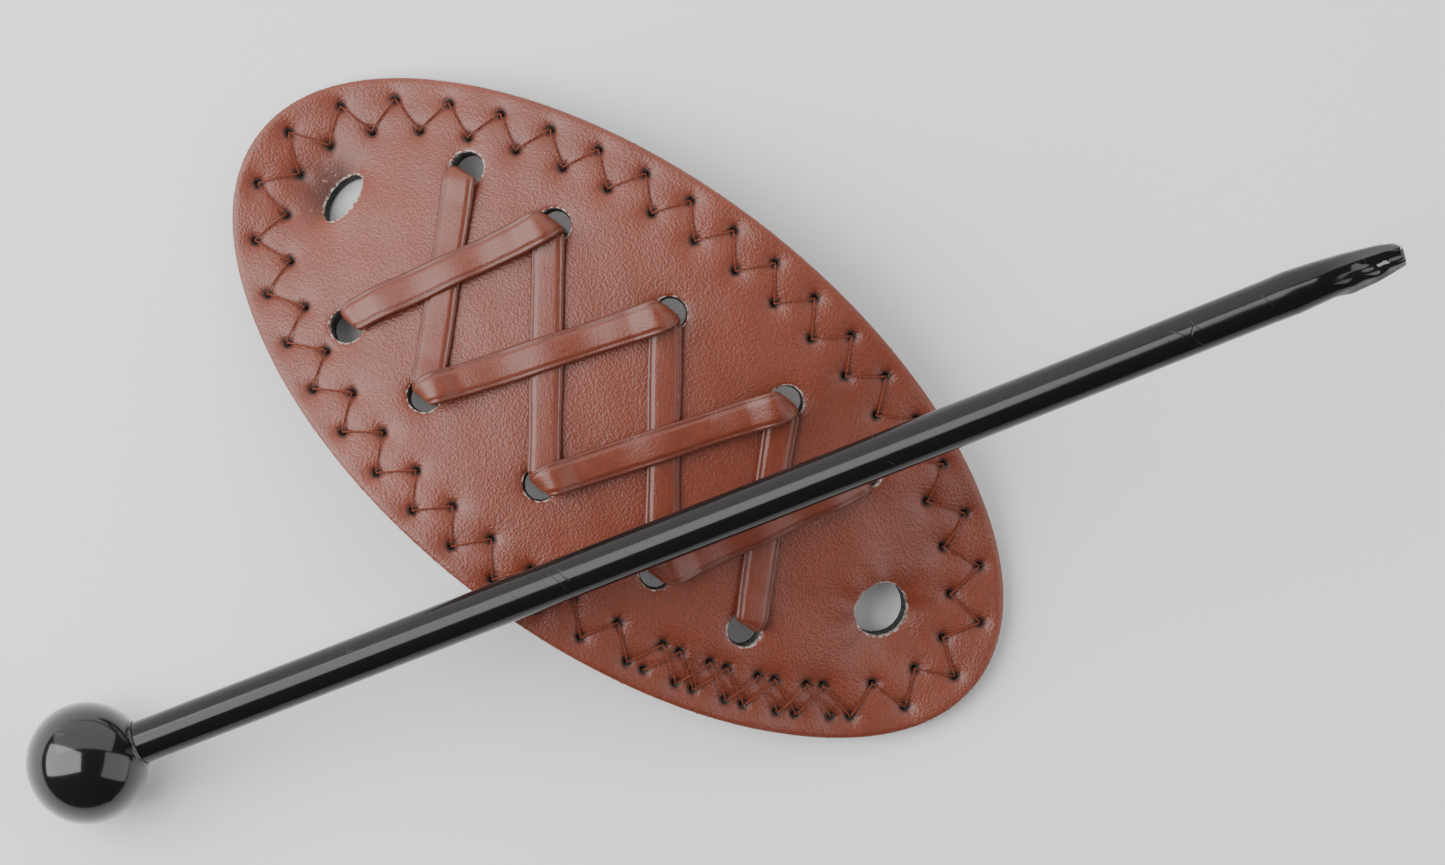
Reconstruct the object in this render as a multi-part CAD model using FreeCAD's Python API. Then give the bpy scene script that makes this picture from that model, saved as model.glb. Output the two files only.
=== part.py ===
import FreeCAD, Part
import math
import os

# A hair slide: a laced oval of stiffened imitation leather with a hole near each end, and the
# ball-ended stick that goes through the holes and the hair. It lies on a table with the stick across it.
# Frame: X along the oval, Y across it, Z up from the table. The origin is under the oval's middle.

# The oval, cut to size after its three layers are sewn together
slide_length = 110.8
slide_width = 56.6
face_thickness = 1.0
core_thickness = 1.2
lining_thickness = 0.8

# Its bend along X: a long hump whose sides turn into two end lobes that lie on the table. The slope is the
# steepest one, between hump and lobe, and the lobe's radius is that of the lining's lower face.
hump_slope = 24.0
lobe_radius = 33.3
lobe_flat = 2.4

# The two holes for the stick: from the oval's end to the hole's middle, and how far both are off centre
stick_hole_margin = 13.9
stick_hole_shift = -0.9
stick_hole_play = 0.8

# Five pairs of lace holes: from a stick hole to the end pair, from there to the next pair, and from the
# oval's edge to a row's hole in the three middle pairs and in the end pairs
lace_end_gap = 10.9
lace_end_spacing = 12.8
lace_row_margin = 15.3
lace_end_margin = 11.5
lace_pattern_shift = -1.8

# The flat lace. Its legs in the holes are narrower by a fold at each edge, play is kept all round it, and
# an outer leg rises further before it bends over the inner one.
lace_width = 4.2
lace_leg_fold = 0.55
lace_thickness = 0.9
lace_play = 0.05
lace_outer_rise = 0.8
lace_bend_radius = 0.35
lace_settle = 3.5

# The zigzag seam round the edge
seam_outer_margin = 2.6
seam_depth = 3.8
seam_pitch = 6.3
seam_overlap = 24.0
seam_start_angle = -66.0
needle_hole_play = 0.13
thread_radius = 0.18
thread_squeeze = 0.04
thread_play = 0.08

# The stick
stick_length = 180.0
ball_radius = 7.5
shaft_radius = 2.65
shaft_socket_depth = 8.0
socket_play = 0.05
tip_length = 13.0
tip_end_radius = 1.35
tip_bulge = 0.5
tip_flat_length = 9.0
tip_flat_height = 0.8

# How the stick lies: where it crosses the oval's long axis, at what angle, and how far from the ball's middle
stick_cross_x = 19.9
stick_cross_angle = 58.6
stick_cross_distance = 86.3
stick_rest_play = 0.3

# Worked out from the values above
slide_thickness = lining_thickness + core_thickness + face_thickness
core_level = lining_thickness
face_level = lining_thickness + core_thickness
flat_start = slide_length / 2 - lobe_flat
slope = math.radians(hump_slope)
hump_radius = flat_start / math.sin(slope) - lobe_radius
hump_rise = (hump_radius + lobe_radius) * (1 - math.cos(slope))
turn_x = (hump_radius + slide_thickness) * math.sin(slope)

Vec = FreeCAD.Vector
up = Vec(0, 0, 1)


def tilt_at(x):
    """The angle between the slide's normal and vertical at plan position x on its top face, positive outwards."""
    side = math.copysign(1.0, x)
    if abs(x) <= turn_x:
        return math.asin(x / (hump_radius + slide_thickness))
    if abs(x) < flat_start:
        return side * math.asin((flat_start - abs(x)) / (lobe_radius - slide_thickness))
    return 0.0


def place(x, y, h):
    """The point at height h above the lining's lower face, on the normal through the top face at plan x, y."""
    tilt = tilt_at(x)
    side = math.copysign(1.0, x)
    if abs(x) <= turn_x:
        radius = hump_radius + h
        return Vec(radius * math.sin(tilt), y, hump_rise - hump_radius + radius * math.cos(tilt))
    if abs(x) < flat_start:
        radius = lobe_radius - h
        return Vec(side * flat_start - radius * math.sin(tilt), y, lobe_radius - radius * math.cos(tilt))
    return Vec(x, y, h)


def normal_at(x):
    """The outward normal of the slide's top face at plan position x."""
    tilt = tilt_at(x)
    return Vec(math.sin(tilt), 0, math.cos(tilt))


def edge_run(h):
    """The bent line at height h from end to end, as tangent lines and arcs."""
    end_x = slide_length / 2 + 5
    lobe_mid = (turn_x + flat_start) / 2
    stops = [-flat_start, -lobe_mid, -turn_x, 0, turn_x, lobe_mid, flat_start]
    points = [place(x, -slide_width, h) for x in [-end_x] + stops + [end_x]]
    edges = [Part.makeLine(points[0], points[1])]
    for first in (1, 3, 5):
        edges.append(Part.Arc(points[first], points[first + 1], points[first + 2]).toShape())
    edges.append(Part.makeLine(points[7], points[8]))
    return edges, points[0], points[8]


def make_layer(low, high):
    """One bent layer between two heights, trimmed to the oval."""
    low_edges, low_start, low_end = edge_run(low)
    high_edges, high_start, high_end = edge_run(high)
    ends = [Part.makeLine(low_end, high_end), Part.makeLine(high_start, low_start)]
    profile = Part.Face(Part.Wire(Part.__sortEdges__(low_edges + high_edges + ends)))
    slab = profile.extrude(Vec(0, 2 * slide_width, 0))
    oval = Part.Ellipse(Vec(0, 0, 0), slide_length / 2, slide_width / 2).toShape()
    oval.translate(Vec(0, 0, -10))
    cutter = Part.Face(Part.Wire(oval)).extrude(Vec(0, 0, hump_rise + 30))
    return slab.common(cutter)


def punch(x, y, radius):
    """A round tool along the slide's normal at plan x, y, longer than the slide is thick."""
    overshoot = 2.0
    foot = place(x, y, -overshoot)
    return Part.makeCylinder(radius, slide_thickness + 2 * overshoot, foot, normal_at(x))


# Hole sizes, and hole places on the top face
stick_hole_radius = shaft_radius + stick_hole_play
stick_hole_reach = slide_length / 2 - stick_hole_margin
stick_holes = [(stick_hole_shift + side * stick_hole_reach, 0.0) for side in (-1, 1)]
lace_hole_radius = lace_width / 2
lace_leg_width = lace_width - 2 * lace_leg_fold
lace_end_reach = stick_hole_reach - lace_end_gap
lace_next_reach = lace_end_reach - lace_end_spacing
lace_reaches = [-lace_end_reach, -lace_next_reach, 0.0, lace_next_reach, lace_end_reach]
lace_xs = [lace_pattern_shift + reach for reach in lace_reaches]
last_pair = len(lace_xs) - 1
lace_row_half = slide_width / 2 - lace_row_margin
edge_at_end_pair = slide_width / 2 * math.sqrt(1 - (lace_end_reach / (slide_length / 2)) ** 2)
lace_end_row_half = edge_at_end_pair - lace_end_margin
lace_rows = [lace_end_row_half] + [lace_row_half] * (last_pair - 1) + [lace_end_row_half]
thread_leg_radius = 2 * thread_radius - thread_squeeze
needle_hole_radius = thread_leg_radius + needle_hole_play


def seam_point(angle, inset):
    """A point on the oval moved inwards by inset, square to its edge."""
    a = slide_length / 2
    b = slide_width / 2
    across = Vec(b * math.cos(angle), a * math.sin(angle), 0)
    across.normalize()
    return Vec(a * math.cos(angle), b * math.sin(angle), 0) - across * inset


def seam_stations():
    """The needle's places in sewing order, outer row and inner row in turn, and whether each is in the
    overlap. The needle moves half a pitch along the seam's middle line each time."""
    middle = seam_outer_margin + seam_depth / 2
    steps = 3600
    turn = 2 * math.pi
    angle = math.radians(seam_start_angle)
    here = seam_point(angle, middle)
    places = []
    travelled = 0.0
    wanted = 0.0
    lap_length = None
    while lap_length is None or travelled < lap_length + seam_overlap:
        if travelled >= wanted:
            inset = seam_outer_margin + (len(places) % 2) * seam_depth
            point = seam_point(angle, inset)
            places.append((point.x, point.y, lap_length is not None))
            wanted += seam_pitch / 2
        angle += turn / steps
        there = seam_point(angle, middle)
        travelled += there.distanceToPoint(here)
        here = there
        if lap_length is None and angle - math.radians(seam_start_angle) >= turn:
            lap_length = travelled
    return places


stations = seam_stations()
needle_holes = [punch(x, y, needle_hole_radius) for x, y, second in stations]
big_holes = [punch(x, y, stick_hole_radius) for x, y in stick_holes]
lace_holes = [
    punch(x, side * row, lace_hole_radius) for x, row in zip(lace_xs, lace_rows) for side in (-1, 1)
]
all_holes = Part.makeCompound(needle_holes + big_holes + lace_holes)


def bar(first, second, radius):
    """A round bar from one point to another."""
    along = second - first
    return Part.makeCylinder(radius, along.Length, first, along)


def thread_bars(level, second_level, radius):
    """The stitches between neighbouring needle holes, on the given heights."""
    bars = []
    for (x0, y0, over0), (x1, y1, over1) in zip(stations, stations[1:]):
        h = second_level if over0 else level
        bars.append(bar(place(x0, y0, h), place(x1, y1, h), radius))
    return bars


def thread_legs(low, second_low, high, second_high):
    """The thread's legs in the needle holes."""
    legs = []
    for x, y, over in stations:
        foot = place(x, y, second_low if over else low)
        head = place(x, y, second_high if over else high)
        legs.append(bar(foot, head, thread_leg_radius))
    return legs


def make_front_panel():
    """The brown face."""
    return make_layer(face_level, slide_thickness).cut(all_holes)


def make_stiffener():
    """The dark board between face and lining."""
    return make_layer(core_level, face_level).cut(all_holes)


lock_level = slide_thickness / 2
needle_level = slide_thickness + thread_radius + thread_play
second_rise = 2 * thread_radius + thread_play
bobbin_level = thread_radius + thread_play
furrow_radius = bobbin_level + thread_play / 2


def make_back_lining():
    """The lining, with the furrows that the bobbin thread is pulled into."""
    furrows = thread_bars(bobbin_level, bobbin_level, furrow_radius)
    lining = make_layer(0, core_level).cut(all_holes)
    return lining.cut(Part.makeCompound(furrows))


def fuse_all(pieces):
    """Pieces that meet, as one solid."""
    return pieces[0].multiFuse(pieces[1:]).removeSplitter()


def make_needle_thread():
    """The upper thread: stitches on the face, and legs down to where it locks with the lower thread. The
    last stitches lie over the first ones."""
    high = needle_level + second_rise
    bars = thread_bars(needle_level, high, thread_radius)
    head = thread_radius + thread_squeeze
    legs = thread_legs(lock_level, lock_level, needle_level + head, high + head)
    return fuse_all(bars + legs)


def make_bobbin_thread():
    """The lower thread, in its furrows, with legs up to the lock."""
    low = bobbin_level - thread_radius - thread_squeeze
    return fuse_all(
        thread_bars(bobbin_level, bobbin_level, thread_radius)
        + thread_legs(low, low, lock_level, lock_level)
    )


# The lace. At each inner hole two legs share the hole: the leg of the lower run is nearer the slide's
# middle, and the leg of the upper run is outside it.
inner_leg = math.sqrt(lace_hole_radius ** 2 - (lace_leg_width / 2) ** 2) - lace_play - lace_thickness / 2
outer_leg = inner_leg - lace_thickness - lace_play
lower_height = lace_play + lace_thickness / 2
upper_height = lower_height + lace_thickness + lace_play
inner_bend = lace_bend_radius + lace_thickness / 2
outer_bend = inner_bend + lace_thickness + lace_play


def leg_place(pair, side, upper):
    """The plan place of a leg's middle, and whether the leg is an outer one."""
    outer = upper and 0 < pair < last_pair
    inward = outer_leg if outer else inner_leg
    return Vec(lace_xs[pair], side * (lace_rows[pair] - inward), 0), outer


def lace_section(centre, along, across, width):
    """The lace's cross-section at a point of its path, as a closed wire on the bent slide. centre holds
    plan x, plan y and height, along is the path's direction and across runs over the lace's width. Sizes
    along X shrink with the slope, because place() takes plan x."""
    through = along.cross(across)
    through.normalize()
    shrink = math.cos(tilt_at(centre.x))
    corners = []
    for side, face in ((-1, -1), (1, -1), (1, 1), (-1, 1)):
        offset = across * (side * width / 2) + through * (face * lace_thickness / 2)
        corners.append(place(centre.x + offset.x * shrink, centre.y + offset.y, centre.z + offset.z))
    return Part.makePolygon(corners + corners[:1])


def half_run(leg, outer, ahead, run_across, surface, outward, height, reach):
    """Sections from the middle of a hole to the middle of the run, for one end of a run: up the leg, over
    the hole's edge, down onto the slide or the lace below, and along."""
    leg_across = Vec(1, 0, 0)
    bend = outer_bend if outer else inner_bend
    crest = surface + outward * (lace_outer_rise if outer else 0.0)
    sections = []
    for h in (lock_level, (lock_level + crest) / 2, crest):
        sections.append(lace_section(Vec(leg.x, leg.y, h), up * outward, leg_across, lace_leg_width))
    bend_steps = 4
    for step in range(1, bend_steps + 1):
        share = step / bend_steps
        turn = share * math.pi / 2
        centre = leg + ahead * (bend * (1 - math.cos(turn)))
        centre.z = crest + outward * bend * math.sin(turn)
        along = ahead * math.sin(turn) + up * (outward * math.cos(turn))
        across = leg_across * (1 - share) + run_across * share
        across.normalize()
        width = lace_leg_width + (lace_width - lace_leg_width) * share
        sections.append(lace_section(centre, along, across, width))
    settle_steps = 4
    drop = crest + outward * (bend - height) - surface
    for step in range(1, settle_steps + 1):
        share = step / settle_steps
        ease = share * share * (3 - 2 * share)
        centre = leg + ahead * (bend + lace_settle * share)
        centre.z = surface + outward * height + drop * (1 - ease)
        sections.append(lace_section(centre, ahead, run_across, lace_width))
    settled = bend + lace_settle
    level_steps = 3
    for step in range(1, level_steps + 1):
        centre = leg + ahead * (settled + (reach - settled) * (step - 0.5) / level_steps)
        centre.z = surface + outward * height
        sections.append(lace_section(centre, ahead, run_across, lace_width))
    return sections


def make_run(start_pair, start_side, end_pair, end_side, upper, front):
    """One run of lace between two holes, from mid-hole to mid-hole."""
    start, start_outer = leg_place(start_pair, start_side, upper)
    end, end_outer = leg_place(end_pair, end_side, upper)
    ahead = end - start
    half = ahead.Length / 2
    ahead.normalize()
    run_across = Vec(-ahead.y, ahead.x, 0)
    if run_across.x < 0:
        run_across = run_across * -1
    surface = slide_thickness if front else 0.0
    outward = 1 if front else -1
    stacked = upper and (front or 0 < start_pair < last_pair)
    height = upper_height if stacked else lower_height
    wires = half_run(start, start_outer, ahead, run_across, surface, outward, height, half)
    # The far half is made from the end back, so its sections are turned round to follow on
    for wire in reversed(half_run(end, end_outer, ahead * -1, run_across, surface, outward, height, half)):
        corners = [vertex.Point for vertex in wire.OrderedVertexes]
        wires.append(Part.makePolygon([corners[k] for k in (3, 2, 1, 0, 3)]))
    return Part.makeLoft(wires, True, True)


def make_lace():
    """One lace: four lower and four upper runs on the face, and the straight runs behind that join them."""
    pieces = []
    for pair in range(last_pair):
        pieces.append(make_run(pair, 1, pair + 1, -1, False, True))
        pieces.append(make_run(pair, -1, pair + 1, 1, True, True))
    for pair in range(last_pair + 1):
        pieces.append(make_run(pair, 1, pair, -1, False, False))
        if 0 < pair < last_pair:
            pieces.append(make_run(pair, 1, pair, -1, True, False))
    return fuse_all(pieces)


def rest_tilt():
    """How far the stick rises from the ball, so that its shaft clears seam and lace by stick_rest_play."""
    seam_stack = needle_level + second_rise + thread_radius
    lace_stack = slide_thickness + upper_height + lace_thickness / 2
    angle = math.radians(stick_cross_angle)
    reach = slide_width / 2 / math.sin(angle)
    samples = 200
    steepest = 0.0
    for step in range(samples + 1):
        s = stick_cross_distance - reach + 2 * reach * step / samples
        x = stick_cross_x + (s - stick_cross_distance) * math.cos(angle)
        y = (s - stick_cross_distance) * math.sin(angle)
        stack = lace_stack if abs(y) < lace_row_half else seam_stack
        top = place(x, y, stack) + normal_at(x) * (shaft_radius + stick_rest_play)
        away = (top.x - x) * math.cos(angle)
        steepest = max(steepest, math.atan2(top.z - ball_radius, s + away))
    return steepest


def lay_stick(shape):
    """Moves a piece of the stick from its own line, ball at the origin and tip along +X, to the table."""
    angle = math.radians(stick_cross_angle)
    ball = Vec(
        stick_cross_x - stick_cross_distance * math.cos(angle),
        -stick_cross_distance * math.sin(angle),
        ball_radius,
    )
    lift = FreeCAD.Rotation(Vec(0, 1, 0), -math.degrees(rest_tilt()))
    swing = FreeCAD.Rotation(up, stick_cross_angle)
    shape.Placement = FreeCAD.Placement(ball, swing.multiply(lift))
    return shape


shaft_start = math.sqrt(ball_radius ** 2 - shaft_radius ** 2) - shaft_socket_depth
tip_end = stick_length - ball_radius
tip_start = tip_end - tip_length


def tip_flat(side):
    """The wedge that is pinched off one side of the tip, so that it ends in a chisel."""
    edge_start = Vec(tip_end - tip_flat_length, -shaft_radius * 2, side * shaft_radius)
    edge_end = Vec(tip_end + 1, -shaft_radius * 2, side * tip_flat_height)
    corner = Vec(tip_end + 1, -shaft_radius * 2, side * shaft_radius * 2)
    back = Vec(tip_end - tip_flat_length, -shaft_radius * 2, side * shaft_radius * 2)
    outline = Part.makePolygon([edge_start, edge_end, corner, back, edge_start])
    return Part.Face(outline).extrude(Vec(0, shaft_radius * 4, 0))


def make_stick_shaft():
    """The round shaft, drawn in to a chisel tip that is pinched flat from above and below."""
    foot = Vec(shaft_start + socket_play, 0, 0)
    foot_edge = Vec(foot.x, 0, shaft_radius)
    shoulder = Vec(tip_start, 0, shaft_radius)
    half_way = Vec((tip_start + tip_end) / 2, 0, (shaft_radius + tip_end_radius) / 2 + tip_bulge)
    end_edge = Vec(tip_end, 0, tip_end_radius)
    end = Vec(tip_end, 0, 0)
    outline = Part.Wire(
        [
            Part.makeLine(foot, foot_edge),
            Part.makeLine(foot_edge, shoulder),
            Part.Arc(shoulder, half_way, end_edge).toShape(),
            Part.makeLine(end_edge, end),
            Part.makeLine(end, foot),
        ]
    )
    turned = Part.Face(outline).revolve(Vec(0, 0, 0), Vec(1, 0, 0), 360)
    return lay_stick(turned.cut(tip_flat(1)).cut(tip_flat(-1)))


def make_stick_ball():
    """The ball, with the blind socket that the shaft is glued into."""
    ball = Part.makeSphere(ball_radius)
    socket = Part.makeCylinder(
        shaft_radius + socket_play, shaft_socket_depth + ball_radius, Vec(shaft_start, 0, 0), Vec(1, 0, 0)
    )
    return lay_stick(ball.cut(socket))


makers = {
    "front_panel": make_front_panel,
    "stiffener": make_stiffener,
    "back_lining": make_back_lining,
    "needle_thread": make_needle_thread,
    "bobbin_thread": make_bobbin_thread,
    "lace": make_lace,
    "stick_shaft": make_stick_shaft,
    "stick_ball": make_stick_ball,
}

os.makedirs("parts", exist_ok=True)
for name, make in makers.items():
    shape = make()
    shape.exportStep("parts/%s.step" % name)
    box = shape.BoundBox
    print(
        "%-14s solids %d valid %s volume %8.1f mm3  z %.2f to %.2f"
        % (name, len(shape.Solids), shape.isValid(), shape.Volume, box.ZMin, box.ZMax)
    )
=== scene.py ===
import math

import bpy
import numpy as np
from mathutils import Matrix, Vector
from mathutils.geometry import delaunay_2d_cdt


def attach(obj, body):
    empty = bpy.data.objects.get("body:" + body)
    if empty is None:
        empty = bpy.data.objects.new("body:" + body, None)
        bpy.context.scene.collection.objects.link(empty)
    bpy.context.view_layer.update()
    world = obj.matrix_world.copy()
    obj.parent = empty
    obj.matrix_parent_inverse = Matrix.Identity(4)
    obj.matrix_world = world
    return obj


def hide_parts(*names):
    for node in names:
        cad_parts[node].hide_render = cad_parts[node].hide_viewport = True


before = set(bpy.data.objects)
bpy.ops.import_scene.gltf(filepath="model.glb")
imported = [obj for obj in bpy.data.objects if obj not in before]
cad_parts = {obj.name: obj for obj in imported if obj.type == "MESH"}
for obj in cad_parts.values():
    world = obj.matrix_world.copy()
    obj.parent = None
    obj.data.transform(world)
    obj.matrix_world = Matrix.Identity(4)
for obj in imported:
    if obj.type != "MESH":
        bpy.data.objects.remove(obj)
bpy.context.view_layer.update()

# ---------------------------------------------------------------------------------------------
# The studio: a pale table top, a camera straight above it, a large soft lamp on either side and a
# grey board beyond the far edge. Only the table is geometry. The camera is turned so that the stick
# runs from lower left to upper right.
camera_turn = math.radians(37.4)
camera_foot = (0.0120, 0.0054)
camera_height = 1.0035
lens = bpy.data.cameras.new("camera")
lens.lens = 203.5
lens.sensor_width = 36.0
lens.clip_start = 0.01
camera = bpy.data.objects.new("camera", lens)
camera.location = (*camera_foot, camera_height)
camera.rotation_euler = (0, 0, camera_turn)
bpy.context.scene.collection.objects.link(camera)
bpy.context.scene.camera = camera


def lamp(name, high_end, low_end, width, radiance, colour=(1.0, 1.0, 1.0)):
    """A flat soft lamp between the middles of its high and its low end, each given as metres right
    and up in the camera's picture and above the table. Its power is its radiance times its area
    times pi."""
    right = Vector((math.cos(camera_turn), math.sin(camera_turn), 0.0))
    forward = Vector((-right.y, right.x, 0.0))
    foot = Vector((*camera_foot, 0.0))
    high, low = (
        foot + right * end[0] + forward * end[1] + Vector((0, 0, end[2]))
        for end in (high_end, low_end)
    )
    lengthwise = (low - high).normalized()
    back = ((high + low) / 2 - foot).normalized()
    widthwise = lengthwise.cross(back).normalized()
    back = widthwise.cross(lengthwise)
    light = bpy.data.lights.new(name, "AREA")
    light.shape = "RECTANGLE"
    light.size, light.size_y = width, (low - high).length
    light.energy = radiance * math.pi * light.size * light.size_y
    light.color = colour
    made = bpy.data.objects.new(name, light)
    made.rotation_euler = Matrix((widthwise, lengthwise, back)).transposed().to_euler()
    made.location = (high + low) / 2
    made.visible_camera = False
    bpy.context.scene.collection.objects.link(made)


lamp("lamp_left", (-0.165, 0.01, 0.70), (-0.576, 0.01, 0.10), 0.43, 5.6)
lamp("lamp_right", (0.328, -0.04, 0.56), (0.815, -0.18, 0.03), 0.55, 1.8)
lamp("far_board", (-0.077, 0.46, 0.90), (-0.077, 1.16, 0.03), 2.50, 1.6, (1.0, 0.97, 0.95))

world = bpy.data.worlds.new("studio")
world.use_nodes = True
world.node_tree.nodes["Background"].inputs["Color"].default_value = (0.86, 0.88, 0.92, 1.0)
world.node_tree.nodes["Background"].inputs["Strength"].default_value = 0.12
bpy.context.scene.world = world


class Wire:
    """A socket of a material's nodes. Arithmetic on wires adds Math nodes, and node() any other."""

    def __init__(self, tree, socket=None):
        self.tree, self.socket = tree, socket

    def node(self, kind, inputs, out=0, **settings):
        """Adds a node: its settings first, then the values or links of its sockets."""
        made = self.tree.nodes.new(kind)
        for name, value in settings.items():
            setattr(made, name, value)
        for name, value in inputs.items():
            self.plug(made.inputs[name], value)
        return Wire(self.tree, made.outputs[out])

    def plug(self, socket, value):
        """Links a wire to the socket, or sets a number or a colour on it."""
        if isinstance(value, Wire):
            self.tree.links.new(value.socket, socket)
        elif socket.type == "RGBA":
            socket.default_value = (*value, 1.0)
        else:
            socket.default_value = value

    def arithmetic(self, operation, a, b):
        """Adds a Math node with the two values, wires or numbers, in their order."""
        return self.node("ShaderNodeMath", {0: a, 1: b}, operation=operation)

    def __add__(self, other):
        return self.arithmetic("ADD", self, other)

    def __mul__(self, other):
        return self.arithmetic("MULTIPLY", self, other)

    def __radd__(self, other):
        return self.arithmetic("ADD", other, self)

    def __rsub__(self, other):
        return self.arithmetic("SUBTRACT", other, self)

    def __rmul__(self, other):
        return self.arithmetic("MULTIPLY", other, self)

    def step(self, low, high):
        """0 below low, 1 above high, smooth between."""
        return self.node(
            "ShaderNodeMapRange",
            {"Value": self, "From Min": low, "From Max": high},
            interpolation_type="SMOOTHSTEP",
        )

    def blend(self, first, second):
        """The first colour where this wire is 0 and the second where it is 1."""
        return self.node(
            "ShaderNodeMix", {"Factor": self, 6: first, 7: second}, out=2, data_type="RGBA"
        )


class Finish:
    """A procedural material on Object coordinates, in metres."""

    def __init__(self, name, **constants):
        self.material = bpy.data.materials.new(name)
        self.material.use_nodes = True
        tree = self.material.node_tree
        self.shader = tree.nodes["Principled BSDF"]
        self.wire = Wire(tree)
        for socket, value in constants.items():
            self.wire.plug(self.shader.inputs[socket.replace("_", " ")], value)
        self.here = self.wire.node("ShaderNodeTexCoord", {}, out="Object")

    def node(self, kind, inputs, out=0, **settings):
        return self.wire.node(kind, inputs, out, **settings)

    def noise(self, scale, detail=2.0, where=None):
        return self.node(
            "ShaderNodeTexNoise", {"Vector": where or self.here, "Scale": scale, "Detail": detail}
        )

    def cells(self, scale, where=None, feature="F1"):
        return self.node(
            "ShaderNodeTexVoronoi", {"Vector": where or self.here, "Scale": scale}, feature=feature
        )

    def mark(self, name):
        """A number that the piece's mesh holds at each vertex."""
        return self.node("ShaderNodeAttribute", {}, out="Fac", attribute_name=name)

    def feed(self, **wires):
        """Plugs wires into the shader's sockets, named with underscores for spaces."""
        for socket, value in wires.items():
            self.wire.plug(self.shader.inputs[socket.replace("_", " ")], value)

    def bump(self, *layers):
        """Layers of (height wire, depth in metres), one bump on another."""
        normal = None
        for height, depth in layers:
            inputs = {"Height": height, "Strength": 1.0, "Distance": depth}
            if normal:
                inputs["Normal"] = normal
            normal = self.node("ShaderNodeBump", inputs)
        self.feed(Normal=normal)


sharp_angle = 55.0


def build(name, points, faces, finish, body, replaced=(), marks=None, second=None):
    """A smooth-shaded mesh object at the origin from points in millimetres. marks are numbers for
    each vertex, and second is a finish for some faces with a mask that says which."""
    mesh = bpy.data.meshes.new(name)
    mesh.from_pydata((points * 0.001).tolist(), [], faces.tolist())
    mesh.materials.append(finish.material)
    if second:
        mesh.materials.append(second[0].material)
        mesh.polygons.foreach_set("material_index", second[1].astype(np.int32))
    for mark, values in (marks or {}).items():
        data = mesh.attributes.new(mark, "FLOAT", "POINT").data
        data.foreach_set("value", np.ascontiguousarray(values, np.float32))
    mesh.shade_smooth()
    mesh.set_sharp_from_angle(angle=math.radians(sharp_angle))
    made = bpy.data.objects.new(name, mesh)
    bpy.context.scene.collection.objects.link(made)
    if body:
        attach(made, body)
        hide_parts(*replaced)
    return made


table_finish = Finish("table_top", Roughness=0.55, Specular_IOR_Level=0.35)
table_finish.feed(Base_Color=table_finish.noise(9.0).blend((0.93, 0.93, 0.93), (0.96, 0.96, 0.96)))
table_half = 4000.0
table_corners = [(-1.0, -1.0, 0.0), (1.0, -1.0, 0.0), (1.0, 1.0, 0.0), (-1.0, 1.0, 0.0)]
table_points = table_half * np.array(table_corners)
table = build("table", table_points, np.array([(0, 1, 2, 3)]), table_finish, None)

# ---------------------------------------------------------------------------------------------
# The face of the slide: imitation leather with a pebbled brown film on a pale cloth backing. It is
# die-cut to an oval with two stick holes and ten lace holes, and sewn to the board, so it pillows
# between the stitches and puckers at the needle holes. A hump and two upturned lobes bend it.
half_length, half_width = 55.4, 28.3
slide_thickness, face_level = 3.0, 2.0
hump_slope = math.radians(24.0)
lobe_radius = 33.3
flat_start = half_length - 2.4
hump_radius = flat_start / math.sin(hump_slope) - lobe_radius
hump_rise = (hump_radius + lobe_radius) * (1 - math.cos(hump_slope))
turn_x = (hump_radius + slide_thickness) * math.sin(hump_slope)


def tilt_of(x):
    """The slide's slope at plan x: the arcsine of x over the hump's outer radius, and past the turn
    the arcsine of the way left to the flat over the lobe's inner radius."""
    to_flat = (flat_start - np.abs(x)) / (lobe_radius - slide_thickness)
    hump = np.arcsin(np.clip(x / (hump_radius + slide_thickness), -1, 1))
    lobe = np.sign(x) * np.arcsin(np.clip(to_flat, 0, 1))
    return np.where(np.abs(x) <= turn_x, hump, lobe)


def bend(x, y, h):
    """Points at height h above the slide's lower face, on the normal through plan x, y of the top
    face: on the hump a circle about its centre below, on the lobes a circle about a centre
    above."""
    tilt = tilt_of(x)
    sine, cosine = np.sin(tilt), np.cos(tilt)
    hump_r, lobe_r = hump_radius + h, lobe_radius - h
    on_hump = np.stack([hump_r * sine, y, hump_rise - hump_radius + hump_r * cosine], -1)
    lobe_x = np.sign(x) * flat_start - lobe_r * sine
    on_lobe = np.stack([lobe_x, y, lobe_radius - lobe_r * cosine], -1)
    flat = np.stack([x, y, h + 0 * x], -1)
    away = np.abs(x)[..., None]
    return np.where(away <= turn_x, on_hump, np.where(away < flat_start, on_lobe, flat))


def oval(angle, inset):
    """Plan points of the oval moved inwards by inset, square to its edge."""
    across = np.stack([half_width * np.cos(angle), half_length * np.sin(angle)], -1)
    across = across / np.linalg.norm(across, axis=-1, keepdims=True)
    edge = np.stack([half_length * np.cos(angle), half_width * np.sin(angle)], -1)
    return edge - across * np.asarray(inset)[..., None]


def run_length(line):
    """The distance gone along a line of points up to each of them."""
    return np.concatenate([[0.0], np.cumsum(np.linalg.norm(np.diff(line, axis=0), axis=1))])


def grid_quads(rows, sides, closed=False):
    """Four-cornered faces between rings of points, each ring closed and, if asked, the rows too."""
    row = np.arange(rows if closed else rows - 1)[:, None] * sides
    below = (row + sides) % (rows * sides)
    around, beside = np.arange(sides), (np.arange(sides) + 1) % sides
    corners = [row + around, row + beside, below + beside, below + around]
    return np.stack(corners, -1).reshape(-1, 4)


def halved(quads):
    """Two triangles for each four-cornered face."""
    return np.concatenate([quads[:, [0, 1, 2]], quads[:, [0, 2, 3]]])


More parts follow.
